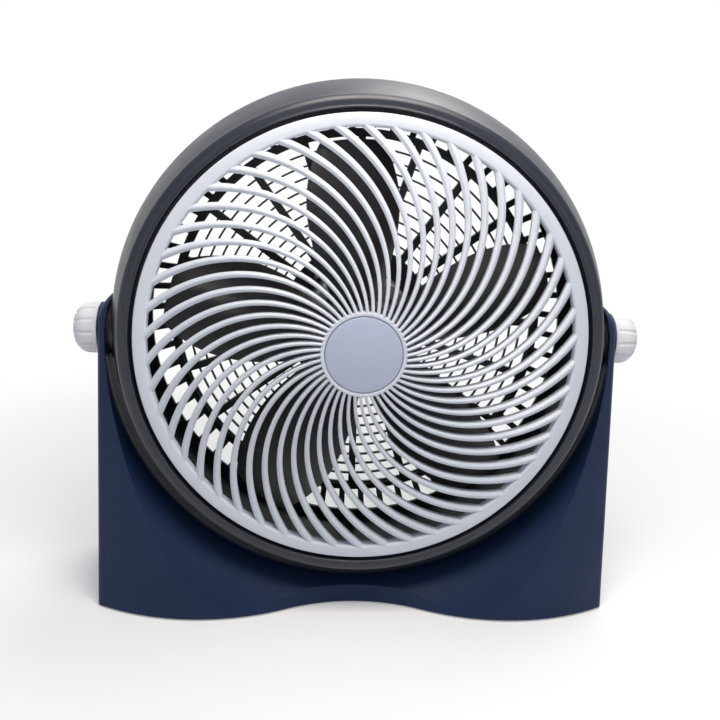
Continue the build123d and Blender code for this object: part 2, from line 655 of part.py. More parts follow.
# ---- motor cover, switch and dial ----
def lead_slot(y0, y1):
    """Cutter for the slot that the motor's wires pass through."""
    half = WIRES * WIRE_R + 1
    z = -(COIL_IN_R + 3)
    return block(-half, half, y0, y1, z - WIRE_R - 0.6, z + WIRE_R + 0.6)


def motor_cover():
    """Round cover behind the motor plate, with vents, screw posts and the cord's inlet."""
    inner = COVER_R - WALL
    floor = COVER_Y - WALL
    shell = lathe((inner, PLATE_REAR_Y), (inner, floor - COVER_ROUND),
                  ((inner - COVER_ROUND * 0.293, floor - COVER_ROUND * 0.293),
                   (inner - COVER_ROUND, floor)), (0, floor), (0, COVER_Y),
                  (inner - COVER_ROUND, COVER_Y),
                  ((COVER_R - COVER_ROUND * 0.36, COVER_Y - COVER_ROUND * 0.36),
                   (COVER_R, floor - COVER_ROUND)), (COVER_R, PLATE_REAR_Y))
    post = rod_y(COVER_POST_R, PLATE_REAR_Y, COVER_Y - WALL / 2, x=COVER_SCREW_CIRCLE_R)
    head_y = PLATE_REAR_Y + COVER_POST_FLOOR
    well = rod_y(HEAD_R + SEAT, head_y, COVER_Y + 1, x=COVER_SCREW_CIRCLE_R)
    shank = rod_y(SCREW_R + FIT, PLATE_REAR_Y - 1, head_y + 1, x=COVER_SCREW_CIRCLE_R)
    envelope = lathe((0, PLATE_REAR_Y), (COVER_R, PLATE_REAR_Y), (COVER_R, floor - COVER_ROUND),
                     ((COVER_R - COVER_ROUND * 0.36, COVER_Y - COVER_ROUND * 0.36),
                      (inner - COVER_ROUND, COVER_Y)), (0, COVER_Y))
    posts = [one & envelope for one in around(post, COVER_SCREWS, 45)]
    body = shell + posts - around(well, COVER_SCREWS, 45) - around(shank, COVER_SCREWS, 45)
    vent = block(VENT_INNER_R, VENT_INNER_R + VENT_LENGTH, floor - 1, COVER_Y + 1,
                 -VENT_W / 2, VENT_W / 2)
    body = body - around(vent, VENTS, 7.5) - rod_y(SWITCH_NECK_R + FIT, floor - 1, COVER_Y + 1)
    inlet = Pos(0, gland_y(), 0) * Rot(0, 90, 0) * rod_x(GLAND_R + FIT, inner - 4, COVER_R + 4)
    return body - inlet


def gland_y():
    return (PLATE_REAR_Y + COVER_Y - COVER_ROUND) / 2 - 2


def cord_bushing():
    """Strain-relief gland in the bottom of the cover, where the mains cord enters."""
    collar = rod_x(GLAND_R, COVER_R - WALL - 2, COVER_R + GLAND_LIP)
    lip = rod_x(GLAND_R + 2, COVER_R + SEAT, COVER_R + GLAND_LIP)
    grip = rod_x(GLAND_R + 1.5, COVER_R - WALL - 3.5, COVER_R - WALL - 1)
    bore = rod_x(GLAND_BORE_R, 0, REACH)
    return Pos(0, gland_y(), 0) * Rot(0, 90, 0) * (collar + lip + grip - bore)


def cover_screws():
    head_y = PLATE_REAR_Y + COVER_POST_FLOOR
    one = Pos(COVER_SCREW_CIRCLE_R, 0, 0) * screw_y(SCREW_R, HEAD_R, HEAD_T, head_y,
                                                    COVER_POST_FLOOR + PLATE_T)
    return around(one, COVER_SCREWS, 45)


def speed_switch():
    front = COVER_Y - WALL - SWITCH_DEPTH
    case = block(-SWITCH_W / 2, SWITCH_W / 2, front, COVER_Y - WALL, -SWITCH_H / 2, SWITCH_H / 2)
    neck = rod_y(SWITCH_NECK_R, COVER_Y - WALL - 1, COVER_Y + SWITCH_NECK_LENGTH)
    bore = rod_y(SPINDLE_R + FIT, front + 4, COVER_Y + SWITCH_NECK_LENGTH + 1)
    return case + neck - bore


def switch_nut():
    nut = hexagon_y(SWITCH_NUT_ACROSS, COVER_Y, COVER_Y + SWITCH_NUT_T)
    return nut - rod_y(SWITCH_NECK_R + FIT, COVER_Y - 1, COVER_Y + SWITCH_NUT_T + 1)


def switch_spindle():
    start = COVER_Y - WALL - SWITCH_DEPTH + 4 + SEAT
    return rod_y(SPINDLE_R, start, DIAL_Y + DIAL_LENGTH - DIAL_TOP_T)


def speed_dial():
    """Round dial with a raised finger grip; its skirt hides the switch's nut."""
    top = DIAL_Y + DIAL_LENGTH
    base_y = top - DIAL_GRIP_DEPTH
    skirt_y = COVER_Y + SEAT
    disc = lathe((0, skirt_y), (DIAL_R, skirt_y), (DIAL_R, base_y - 1),
                 (DIAL_R - 1, base_y), (0, base_y))
    grip = block(-DIAL_GRIP_W / 2, DIAL_GRIP_W / 2, base_y - 1, top, -DIAL_R, DIAL_R)
    grip = grip & rod_y(DIAL_R - 1.2, base_y - 1, top)
    room = rod_y(SWITCH_NUT_ACROSS / 2 + 2, COVER_Y, DIAL_Y)
    socket = rod_y(SPINDLE_R + FIT, DIAL_Y - 1, top - DIAL_TOP_T)
    return disc + grip - room - socket


def run_capacitor():
    z = -COVER_R + WALL + 9
    return block(-CAPACITOR_W / 2, CAPACITOR_W / 2, PLATE_REAR_Y, PLATE_REAR_Y + CAPACITOR_DEPTH,
                 z, z + CAPACITOR_H)


def lead_wires():
    """Wires from the windings, through the plate, to the switch."""
    low_z = -(COIL_IN_R + 3)
    start = STACK_Y + STACK_LENGTH + COIL_LENGTH
    turn = PLATE_REAR_Y + 8
    end = COVER_Y - WALL - SWITCH_DEPTH
    wires = []
    for i in range(WIRES):
        x = (i - (WIRES - 1) / 2) * (2 * WIRE_R + SEAT)
        path = FilletPolyline((x, start, low_z), (x, turn, low_z), (x, turn, -SWITCH_H / 4),
                              (x, end, -SWITCH_H / 4), radius=4 * WIRE_R * 0.8)
        profile = Plane(origin=(x, start, low_z), z_dir=(0, 1, 0)) * Circle(WIRE_R)
        wires.append(sweep(profile, path=path))
    return wires


# ---- base ----
def wave_plan(inset):
    """Plan of the base seen from above: the wavy front wall, with the rest left wide."""
    turn = math.radians(SCOOP_TURN)
    toe_turn = math.radians(TOE_TURN)
    scoop_r = SCOOP_R + inset
    toe_r = TOE_R - inset
    scoop_y = -SCOOP_FRONT - SCOOP_R
    toe_x = (SCOOP_R + TOE_R) * math.sin(turn)
    toe_y = scoop_y + (SCOOP_R + TOE_R) * math.cos(turn)
    dip = (0, scoop_y + scoop_r)
    join = (scoop_r * math.sin(turn), scoop_y + scoop_r * math.cos(turn))
    toe = (toe_x, toe_y - toe_r)
    toe_end = (toe_x + toe_r * math.sin(toe_turn), toe_y - toe_r * math.cos(toe_turn))
    tangent = (math.cos(toe_turn), math.sin(toe_turn))

    def left(point):
        return (-point[0], point[1])

    flank = TangentArc(toe_end, (BASE_HALF_W - inset, -CORNER_FRONT + inset), tangent=tangent)
    corner = flank.position_at(1)
    past = corner + flank.tangent_at(1) * 2 * CORNER_R
    past = (past.X, past.Y)
    tail = Line(corner, past)
    edges = [ThreePointArc(left(join), dip, join), ThreePointArc(join, toe, toe_end),
             ThreePointArc(left(join), left(toe), left(toe_end)), flank,
             mirror(flank, Plane.YZ), tail, mirror(tail, Plane.YZ), Line(past, (past[0], REACH)),
             Line((past[0], REACH), (-past[0], REACH)), Line((-past[0], REACH), left(past))]
    return make_face(edges)


def front_view(inset, floor_z):
    """Front view of the base: sides that lean inwards and round off above the pivot."""
    lean = math.atan(ARM_LEAN / PIVOT_Z)
    turn = math.radians(ARM_SHOULDER_TURN)
    round_r = ARM_SHOULDER_R - inset
    shoulder = PIVOT_Z + ARM_SHOULDER
    middle_x = BASE_HALF_W - shoulder * math.tan(lean) - ARM_SHOULDER_R * math.cos(lean)
    middle_z = shoulder - ARM_SHOULDER_R * math.sin(lean)

    def at(angle):
        return (middle_x + round_r * math.cos(angle), middle_z + round_r * math.sin(angle))

    def left(point):
        return (-point[0], point[1])

    low = at(lean)
    foot = (low[0] + (low[1] - floor_z) * math.tan(lean), floor_z)
    mid = at(lean + turn / 2)
    high = at(lean + turn)
    view = outline(left(foot), foot, low, (mid, high), left(high), (left(mid), left(low)))
    return extrude(Plane.XZ * view, amount=REACH, both=True)


def side_view(inset, floor_z):
    """Side view of the base: rear wall leaning forward, tangent to the arm's rounded top."""
    end_r = ARM_END_R - inset
    rear = REAR_BACK - inset
    away = math.hypot(rear, PIVOT_Z)
    touch = math.atan2(PIVOT_Z, rear) + math.asin(end_r / away)
    run = math.sqrt(away * away - end_r * end_r)
    meet = (rear - run * math.cos(touch), run * math.sin(touch))
    crown = (0, PIVOT_Z + end_r)
    nose = (-end_r, PIVOT_Z)
    view = outline((-REACH, floor_z), (rear - floor_z / math.tan(touch), floor_z), meet,
                   (arm_round(end_r, meet, crown), crown), (arm_round(end_r, crown, nose), nose),
                   (-REACH, PIVOT_Z))
    return extrude(Plane.YZ * view, amount=REACH, both=True)


def arm_round(radius, a, b):
    """Middle of the arc from a to b on the rounded end of an arm, as (y, z)."""
    y = (a[0] + b[0]) / 2
    z = (a[1] + b[1]) / 2 - PIVOT_Z
    scale = radius / math.hypot(y, z)
    return (y * scale, PIVOT_Z + z * scale)


def round_sides(shape, inset, at_front):
    """Round the upright corners of a block at its front or at its rear."""
    corners = []
    for edge in shape.edges():
        low = edge.position_at(0)
        high = edge.position_at(1)
        upright = abs(low.Z - high.Z) > PIVOT_Z / 2
        outer = min(abs(low.X), abs(high.X)) > ARM_X - CORNER_R
        if upright and outer and (min(low.Y, high.Y) < -ARM_END_R / 2) == at_front:
            corners.append(edge)
    return fillet(corners, max(CORNER_R - inset, 1.0))


def base_form(inset, floor_z):
    """The base as a solid block shrunk by inset: wavy front, leaning walls, rounded arms."""
    lean = (CORNER_FRONT + FLANK_LEAD - ARM_END_R) / PIVOT_Z
    direction = Vector(0, lean, 1).normalized()
    length = (PIVOT_Z + 2 * ARM_END_R) / direction.Z
    wave = extrude(wave_plan(inset), amount=length, dir=direction)
    view = front_view(inset, floor_z)
    front = round_sides(wave & view, inset, True)
    return front & round_sides(side_view(inset, floor_z) & view, inset, False)


def trough(inset):
    """The round trough between the arms, which turns into a scoop at the front."""
    radius = TROUGH_R + inset
    rear_r = REAR_FLARE_R - inset

    def flare(share):
        depth = rear_r * share
        return (radius + rear_r - math.sqrt(rear_r ** 2 - depth ** 2), REAR_FLARE_START + depth)

    back = lathe((0, -SCOOP_START), (radius, -SCOOP_START), (radius, REAR_FLARE_START),
                 (flare(0.3), flare(0.6)), (0, flare(0.6)[1]))
    circles = []
    for i, (sunk, wider) in enumerate(SCOOP_CIRCLES):
        place = Plane(origin=(0, -SCOOP_START - i * SCOOP_STEP, -sunk), z_dir=(0, -1, 0))
        circles.append(place * Circle(radius + wider))
    return Pos(0, 0, PIVOT_Z - TROUGH_DROP) * (back + loft(circles))


def largest(shape):
    """The largest solid of a shape, without the slivers beside it."""
    return max(shape.solids(), key=lambda solid: solid.volume)


def screw_places():
    """(x, y) of the screws that hold the bottom plate."""
    sides = [(sx * BASE_SCREW_X, y) for sx in (-1, 1) for y in (-FOOT_FRONT, FOOT_BACK)]
    return sides + [(0, -SCOOP_FRONT / 2), (0, FOOT_BACK)]


def foot_places():
    return [(sx * FOOT_SPREAD_X, y) for sx in (-1, 1) for y in (-FOOT_FRONT, FOOT_BACK)]


def upright(radius, z0, z1, place):
    return Pos(place[0], place[1], (z0 + z1) / 2) * Cylinder(radius, z1 - z0)


def base_shell():
    form = base_form(0, FOOT_PROUD) - trough(0)
    low = block(-REACH, REACH, -REACH, REACH, -REACH, CAVITY_TOP)
    cavity = largest((base_form(BASE_WALL, -1) - trough(BASE_WALL)) & low)
    plate_top = FOOT_PROUD + BASE_PLATE_T
    posts = [upright(BASE_BOSS_R, plate_top, PIVOT_Z, place) for place in screw_places()]
    pad = Pos(0, 0, PIVOT_Z) * rod_x(KNOB_FLANGE_R, ARM_X - ARM_WALL / 2, ARM_X + PAD_PROUD)
    body = form - (cavity - posts) + [pad, mirrored(pad)]
    recess = Pos(0, 0, PIVOT_Z) * rod_x(PIVOT_BOSS_R + PAD_ROOM, 0, PAD_X)
    body = body - [recess, mirrored(recess)]
    bore = Pos(0, 0, PIVOT_Z) * rod_x(BUSH_R + FIT, 0, REACH)
    pilots = [upright(SCREW_R + FIT, 0, plate_top + BASE_SCREW_BITE + 1, place)
              for place in screw_places()]
    return body - [bore, mirrored(bore)] - pilots


def base_plate():
    plate = base_form(BASE_WALL + SEAT, -1) - trough(BASE_WALL + SEAT)
    slab = block(-REACH, REACH, -REACH, REACH, FOOT_PROUD, FOOT_PROUD + BASE_PLATE_T)
    plate = largest(plate & slab)
    holes = [upright(SCREW_R + FIT, 0, PIVOT_Z, place) for place in screw_places()]
    heads = [upright(HEAD_R + SEAT, 0, FOOT_PROUD + 0.6, place) for place in screw_places()]
    seats = [upright(FOOT_R + FIT, 0, FOOT_PROUD + FOOT_SINK, place) for place in foot_places()]
    return plate - holes - heads - seats


def base_screws():
    screws = []
    seat = FOOT_PROUD + 0.6
    for place in screw_places():
        shank = upright(SCREW_R, seat, FOOT_PROUD + BASE_PLATE_T + BASE_SCREW_BITE, place)
        screws.append(shank + upright(HEAD_R, seat - 1.4, seat, place))
    return screws


def rubber_feet():
    return [upright(FOOT_R, 0, FOOT_PROUD + FOOT_SINK, place) for place in foot_places()]


def pivot_bush():
    bush = rod_x(BUSH_R, PAD_X, ARM_X + PAD_PROUD) - rod_x(STUD_R + FIT, 0, REACH)
    return Pos(0, 0, PIVOT_Z) * bush


# ---- the whole fan ----
def base_nodes():
    bush = pivot_bush()
    return {"base_shell": base_shell(), "base_plate": base_plate(), "base_screws": base_screws(),
            "rubber_feet": rubber_feet(), "pivot_bush_right": bush,
            "pivot_bush_left": mirrored(bush)}


def head_nodes():
    nodes = {"front_grille": front_grille(), "hub_cap": hub_cap(), "grille_screws": grille_screws(),
             "front_bezel": front_bezel(), "rear_grille": rear_grille(),
             "housing_screws": housing_screws(), "motor_end_front": motor_end_front(),
             "motor_end_rear": motor_end_rear(), "stator_core": stator_core(),
             "stator_windings": stator_windings(), "rotor_core": rotor_core(),
             "motor_shaft": motor_shaft(), "motor_screws": motor_screws(),
             "bearing_front": bearing(MOTOR_Y + 2, MOTOR_Y + 2 + BEARING_LENGTH),
             "bearing_rear": bearing(PLATE_BACK - 2, PLATE_BACK - 2 - BEARING_LENGTH),
             "propeller": propeller(), "drive_pin": drive_pin(), "propeller_nut": propeller_nut(),
             "motor_cover": motor_cover(), "cord_bushing": cord_bushing(),
             "cover_screws": cover_screws(), "speed_switch": speed_switch(),
             "switch_nut": switch_nut(), "switch_spindle": switch_spindle(),
             "speed_dial": speed_dial(), "run_capacitor": run_capacitor(),
             "lead_wires": lead_wires()}
    for name, maker in (("pivot_washer", pivot_washer), ("pivot_nut", pivot_nut),
                        ("knob_stud", knob_stud), ("tilt_knob", tilt_knob)):
        right = maker()
        nodes[name + "_right"] = right
        nodes[name + "_left"] = mirrored(right)
    return nodes


def write(nodes, place):
    for name, shape in nodes.items():
        pieces = shape if isinstance(shape, list) else [shape]
        solids = [solid for piece in pieces for solid in (place * piece).solids()]
        whole = solids[0] if len(solids) == 1 else Compound(solids)
        export_step(whole, os.path.join("parts", name + ".step"))


os.makedirs("parts", exist_ok=True)
write(base_nodes(), Pos(0, PIVOT_Y, 0))
write(head_nodes(), Pos(0, PIVOT_Y, PIVOT_Z))
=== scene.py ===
"""Looks of an air circulator fan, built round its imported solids. Metres, +Z up, air towards -Y."""
import bpy
import json
import math
from mathutils import Matrix, Vector


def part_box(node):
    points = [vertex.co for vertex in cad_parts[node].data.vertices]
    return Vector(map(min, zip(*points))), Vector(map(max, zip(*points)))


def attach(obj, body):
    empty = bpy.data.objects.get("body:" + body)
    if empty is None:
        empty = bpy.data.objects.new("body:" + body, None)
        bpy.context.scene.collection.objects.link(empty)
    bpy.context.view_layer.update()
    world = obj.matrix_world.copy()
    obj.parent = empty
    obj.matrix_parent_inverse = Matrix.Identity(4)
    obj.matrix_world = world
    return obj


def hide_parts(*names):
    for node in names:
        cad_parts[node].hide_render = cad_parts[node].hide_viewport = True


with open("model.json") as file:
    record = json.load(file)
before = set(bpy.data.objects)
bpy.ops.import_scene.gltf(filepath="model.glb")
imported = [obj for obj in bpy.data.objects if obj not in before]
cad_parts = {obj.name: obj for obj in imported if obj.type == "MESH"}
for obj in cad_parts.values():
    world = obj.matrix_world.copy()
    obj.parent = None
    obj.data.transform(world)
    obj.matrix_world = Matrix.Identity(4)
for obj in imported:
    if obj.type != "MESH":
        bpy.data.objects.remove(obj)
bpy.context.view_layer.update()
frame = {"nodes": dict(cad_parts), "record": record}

MM = 0.001

# ---- sizes and places read from the frame ----
GRILLE_LOW, GRILLE_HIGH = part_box("front_grille")
CAP_LOW, CAP_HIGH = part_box("hub_cap")
SHAFT_LOW, SHAFT_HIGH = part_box("motor_shaft")
DIAL_LOW, DIAL_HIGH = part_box("speed_dial")
COVER_BACK_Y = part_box("motor_cover")[1].y
AXIS_Z = (SHAFT_LOW.z + SHAFT_HIGH.z) / 2
RING_R = (GRILLE_HIGH.x - GRILLE_LOW.x) / 2
CAP_R = (CAP_HIGH.x - CAP_LOW.x) / 2
DIAL_R = (DIAL_HIGH.x - DIAL_LOW.x) / 2
HUB_Y = GRILLE_LOW.y

# ---- front grille: sizes of the solid, but with wider spokes, for their bevels ----
RING_W = 9.5 * MM
RING_WALL = 2.5 * MM
RING_DEPTH = 10.0 * MM        # depth of the skirt round the ring
RING_BEVEL = 1.7 * MM         # at the ring's inner edge
RING_EDGE_R = 0.8 * MM        # at the ring's outer edge
CAP_GAP = 0.5 * MM            # groove round the disc
HUB_RIM_W = 3.0 * MM          # rim round the groove, where the spokes start
HUB_EDGE_R = 0.9 * MM
HUB_SEAT_DEPTH = 2.5 * MM     # from the front of the rim to the floor under the disc
HUB_FLOOR_T = 2.5 * MM
SPOKES = 50
SPOKE_TURN_MID = 21.5         # degrees that a spoke has turned half way out
SPOKE_TURN = 46.5             # degrees that it has turned at the ring
SPOKE_PHASE = 0.9
SPOKE_W_HUB = 2.2 * MM
SPOKE_W_RING = 5.7 * MM
SPOKE_DEPTH = 8.0 * MM
SPOKE_RISE = 15.0 * MM        # the spokes rise this far forward to the hub
# across and back from the crest, in widths: a narrow flat with a bevel down each side
SPOKE_NOSE = ((-0.5, 0.34), (-0.2, 0.06), (-0.12, 0), (0.12, 0), (0.2, 0.06), (0.5, 0.34))
SPOKE_BACK_HALF = 0.36        # half the width at the back, in widths
OPENING_R = RING_R - RING_W
HUB_R = CAP_R + CAP_GAP + HUB_RIM_W
FACE_Y = HUB_Y + SPOKE_RISE

# ---- plain disc in the middle ----
DISC_CROWN = 1.5 * MM
DISC_EDGE_R = 0.6 * MM

# ---- fineness of the meshes ----
HOLE_R = 0.01 * MM            # turned meshes stop this short of their axis
RING_STEPS = 288
HUB_STEPS = 144
DISC_STEPS = 96
DISC_RINGS = 10
SPOKE_STATIONS = 44
GRILLE_SHARP = 28             # degrees: edges sharper than this aren't smoothed

# ---- rear speed dial ----
DIAL_MARKS = ("0", "1", "2", "3")
MARK_SIZE = 6.0 * MM
MARK_GAP = 5.2 * MM           # from the dial's rim to the middle of a number
MARK_RAISED = 0.25 * MM
POINTER_HALF = 0.7 * MM       # half the width of the line
POINTER_FROM = 0.35           # its two ends, in radii of the dial
POINTER_TO = 0.86
POINTER_SUNK = 0.4 * MM
POINTER_RAISED = 0.15 * MM
FACING_BACK = Matrix(((-1, 0, 0), (0, 0, 1), (0, 1, 0))).to_4x4()

# ---- textures ----
NOISE_SPAN = (0.3, 0.7)       # nearly all of the noise lies between these
BUMP_HEIGHT = 0.02 * MM
CLOUD_SCALE = 18.0            # cells of noise per metre, as are the next four
GLOSS_SCALE = 60.0
METAL_CLOUD_SCALE = 40.0
METAL_GLOSS_SCALE = 300.0
METAL_SCRATCH_SCALE = 2500.0
METAL_GRAIN = 0.25
METAL_DARK = 0.9              # the darkest clouds, as a share of the colour
GLOSS_SPREAD = (0.88, 1.12)   # least and most roughness, as shares of the material's own
METAL_GLOSS_SPREAD = (0.8, 1.25)
BEVEL_SAMPLES = 4

# ---- floor: it keeps the shadow, and fades to white between two distances from its middle ----
WHITE = (1, 1, 1, 1)
FLOOR_HALF = 4.0
FLOOR_PAINT = (0.82, 0.82, 0.83, 1)
FLOOR_ROUGHNESS = 0.9
FLOOR_SPECULAR = 0.1
FLOOR_GLOW = 0.24
SHADOW_MIDDLE = (0, 0.15, 0)
SHADOW_REACH = (0.26, 0.66)

# ---- world and lamps ----
AMBIENT = 0.33
AMBIENT_COLOUR = (0.86, 0.92, 1.0, 1)
MIRROR_FADE = (-0.3, 0.4)     # Y of a direction: reflections turn white between these
WARM = (1.0, 0.93, 0.86)
SOFT_WARM = (1.0, 0.94, 0.9)
COOL = (0.9, 0.94, 1.0)

# ---- camera: metres, degrees and millimetres of lens, for a picture of 720 by 720 ----
CAMERA_PLACE = (-0.0315, -0.6346, 0.3548)
CAMERA_YAW = 3.037
CAMERA_PITCH = 14.515
CAMERA_ROLL = 1.9
CAMERA_LENS = 39.71
SENSOR = 36.0


# ---- mesh helpers ----
def mesh_object(name, points, faces, sharp_from=35):
    """A new object with smooth shading, apart from edges sharper than the angle."""
    mesh = bpy.data.meshes.new(name)
    mesh.from_pydata(points, [], faces)
    mesh.validate()
    mesh.polygons.foreach_set("use_smooth", [True] * len(mesh.polygons))
    mesh.set_sharp_from_angle(angle=math.radians(sharp_from))
    made = bpy.data.objects.new(name, mesh)
    bpy.context.scene.collection.objects.link(made)
    return made


def on_axis(radius, angle, y):
    """A point at this distance and angle round the propeller's axis."""
    return (radius * math.cos(angle), y, AXIS_Z + radius * math.sin(angle))


def lathe(profile, steps):
    """Points and faces of a closed profile of (radius, y) turned about the propeller's axis."""
    points = []
    faces = []
    count = len(profile)
    for i in range(steps):
        angle = 2 * math.pi * i / steps
        points += [on_axis(radius, angle, y) for radius, y in profile]
    for i in range(steps):
        here = i * count
        there = (i + 1) % steps * count
        for j in range(count):
            k = (j + 1) % count
            faces.append((here + j, here + k, there + k, there + j))
    return points, faces


def arc(centre, radius, start, end, steps=4):
    """Points of an arc in a flat outline, from one angle in degrees to another."""
    points = []
    for i in range(steps + 1):
        angle = math.radians(start + (end - start) * i / steps)
        points.append((centre[0] + radius * math.cos(angle), centre[1] + radius * math.sin(angle)))
    return points


def joined(*shapes):
    """One list of points and one of faces, from several of each."""
    points = []
    faces = []
    for more_points, more_faces in shapes:
        first = len(points)
        points += more_points
        faces += [tuple(first + i for i in face) for face in more_faces]
    return points, faces


# ---- front grille ----
def share_out(radius):
    """How far out a point of a spoke is, from 0 at the hub to 1 at the ring."""
    return (radius - HUB_R) / (OPENING_R - HUB_R)


def spoke_turn(radius):
    """The angle that a spoke has turned by this radius: a parabola through its two sizes."""
    share = share_out(radius)
    bend = 2 * SPOKE_TURN - 4 * SPOKE_TURN_MID
    return math.radians(share * (4 * SPOKE_TURN_MID - SPOKE_TURN) + share * share * bend)


def spoke_lean(radius):
    """The angle between the spoke and a straight line out from the axis."""
    step = 0.5 * MM
    return math.atan(radius * (spoke_turn(radius + step) - spoke_turn(radius - step))
                     / (2 * step))


def spoke_section(radius):
    """A section square to the spoke, as (out, across, angle, y): crest, bevels, then draft."""
    share = share_out(radius)
    width = SPOKE_W_HUB + share * (SPOKE_W_RING - SPOKE_W_HUB)
    front_y = FACE_Y - SPOKE_RISE * (1 - share)
    lean = spoke_lean(radius)
    corners = [(side * width, depth * width) for side, depth in SPOKE_NOSE]
    corners += [(SPOKE_BACK_HALF * width, SPOKE_DEPTH), (-SPOKE_BACK_HALF * width, SPOKE_DEPTH)]
    return [(radius - off * math.sin(lean), off * math.cos(lean), spoke_turn(radius),
             front_y + depth) for off, depth in corners]


def spoke_sections():
    """Sections of one spoke, from inside the hub's rim to inside the ring."""
    inner = HUB_R - HUB_RIM_W / 3
    outer = OPENING_R + RING_W / 4
    return [spoke_section(inner + (outer - inner) * i / SPOKE_STATIONS)
            for i in range(SPOKE_STATIONS + 1)]


def spoke(sections, phase):
    """Points and faces of the spoke that starts at this angle."""
    points = []
    faces = []
    count = len(sections[0])
    for section in sections:
        for out, across, angle, y in section:
            turned = angle + phase
            points.append((out * math.cos(turned) - across * math.sin(turned), y,
                           AXIS_Z + out * math.sin(turned) + across * math.cos(turned)))
    for i in range(len(sections) - 1):
        for j in range(count):
            k = (j + 1) % count
            here = i * count
            there = here + count
            faces.append((here + j, there + j, there + k, here + k))
    faces.append(tuple(range(count)))
    faces.append(tuple((len(sections) - 1) * count + j for j in reversed(range(count))))
    return points, faces


def grille_ring():
    """The plain ring round the slots: a bevelled inner edge and a skirt round the outside."""
    little = 0.1 * RING_BEVEL
    most = 0.75 * RING_BEVEL
    wall = RING_W / 4
    back_y = FACE_Y + RING_WALL
    profile = [(OPENING_R, FACE_Y + SPOKE_DEPTH), (OPENING_R, FACE_Y + RING_BEVEL),
               (OPENING_R + little, FACE_Y + most), (OPENING_R + most, FACE_Y + little),
               (OPENING_R + RING_BEVEL, FACE_Y)]
    profile += arc((RING_R - RING_EDGE_R, FACE_Y + RING_EDGE_R), RING_EDGE_R, 270, 360)
    profile += [(RING_R, FACE_Y + RING_DEPTH), (RING_R - wall, FACE_Y + RING_DEPTH),
                (RING_R - wall, back_y), (OPENING_R + wall, back_y),
                (OPENING_R + wall, FACE_Y + SPOKE_DEPTH)]
    return lathe(profile, RING_STEPS)


def grille_hub():
    """The raised rim that the spokes start from, and the floor under the plain disc."""
    seat_r = CAP_R + CAP_GAP
    edge_y = HUB_Y + HUB_EDGE_R
    floor_y = HUB_Y + HUB_SEAT_DEPTH
    profile = [(HOLE_R, floor_y), (seat_r, floor_y)]
    profile += arc((seat_r + HUB_EDGE_R, edge_y), HUB_EDGE_R, 180, 270)
    profile += arc((HUB_R - HUB_EDGE_R, edge_y), HUB_EDGE_R, 270, 360)
    profile += [(HUB_R, HUB_Y + SPOKE_DEPTH), (seat_r, HUB_Y + SPOKE_DEPTH),
                (seat_r, floor_y + HUB_FLOOR_T), (HOLE_R, floor_y + HUB_FLOOR_T)]
    return lathe(profile, HUB_STEPS)


def front_grille():
    """Ring, hub and spokes, one moulding."""
    sections = spoke_sections()
    spokes = [spoke(sections, math.radians(SPOKE_PHASE + 360 * i / SPOKES))
              for i in range(SPOKES)]
    points, faces = joined(grille_ring(), grille_hub(), *spokes)
    made = mesh_object("grille_moulding", points, faces, GRILLE_SHARP)
    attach(made, "head")
    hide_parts("front_grille")
    return made


def hub_disc():
    """The plain disc in the middle: slightly crowned, with a rounded rim."""
    flat_r = CAP_R - DISC_EDGE_R
    edge_y = CAP_LOW.y + DISC_CROWN
    profile = [(HOLE_R + flat_r * i / DISC_RINGS, CAP_LOW.y + DISC_CROWN * (i / DISC_RINGS) ** 2)
               for i in range(DISC_RINGS)]
    profile += arc((flat_r, edge_y + DISC_EDGE_R), DISC_EDGE_R, 270, 360)
    profile += [(CAP_R, CAP_HIGH.y), (HOLE_R, CAP_HIGH.y)]
    points, faces = lathe(profile, DISC_STEPS)
    made = mesh_object("hub_disc", points, faces)
    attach(made, "head")
    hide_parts("hub_cap")
    return made


# ---- rear speed dial ----
def joint_range(name):
    """Lowest and highest angle of a joint, in degrees."""
    for joint in frame["record"]["behaviour"]["joints"]:
        if joint["name"] == name:
            return joint["range_deg"]
    raise ValueError(name)


def dial_mark(text, angle):
    """A raised number on the motor cover, upright, where the dial's grip points at it."""
    curve = bpy.data.curves.new("dial_mark_" + text, "FONT")
    curve.body = text
    curve.size = MARK_SIZE
    curve.extrude = MARK_RAISED
    curve.align_x = "CENTER"
    curve.align_y = "CENTER"
    made = bpy.data.objects.new("dial_mark_" + text, curve)
    bpy.context.scene.collection.objects.link(made)
    radius = DIAL_R + MARK_GAP
    place = Vector((radius * math.sin(angle), COVER_BACK_Y, AXIS_Z + radius * math.cos(angle)))
    made.matrix_world = Matrix.Translation(place) @ FACING_BACK
    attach(made, "head")
    return made


def dial_pointer():
    """A pale line let into the dial's grip, at the end that points at the numbers."""
    low = AXIS_Z + POINTER_FROM * DIAL_R
    high = AXIS_Z + POINTER_TO * DIAL_R
    outline = [(POINTER_HALF, low)]
    outline += arc((0, high), POINTER_HALF, 0, 180, 8)
    outline += [(-POINTER_HALF, low)]
    depths = (DIAL_HIGH.y - POINTER_SUNK, DIAL_HIGH.y + POINTER_RAISED)
    points = [(x, y, z) for y in depths for x, z in outline]
    count = len(outline)
    faces = [tuple(range(count)), tuple(reversed(range(count, 2 * count)))]
    faces += [(i, i + count, (i + 1) % count + count, (i + 1) % count) for i in range(count)]
    made = mesh_object("dial_pointer", points, faces)
    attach(made, "dial")
    return made


def rear_markings():
    """The pointer on the dial, and the numbers spread evenly over the dial's travel."""
    low, high = joint_range("dial_turn")
    steps = len(DIAL_MARKS) - 1
    pieces = [dial_pointer()]
    for i, text in enumerate(DIAL_MARKS):
        pieces.append(dial_mark(text, math.radians(low + (high - low) * i / steps)))
    return pieces


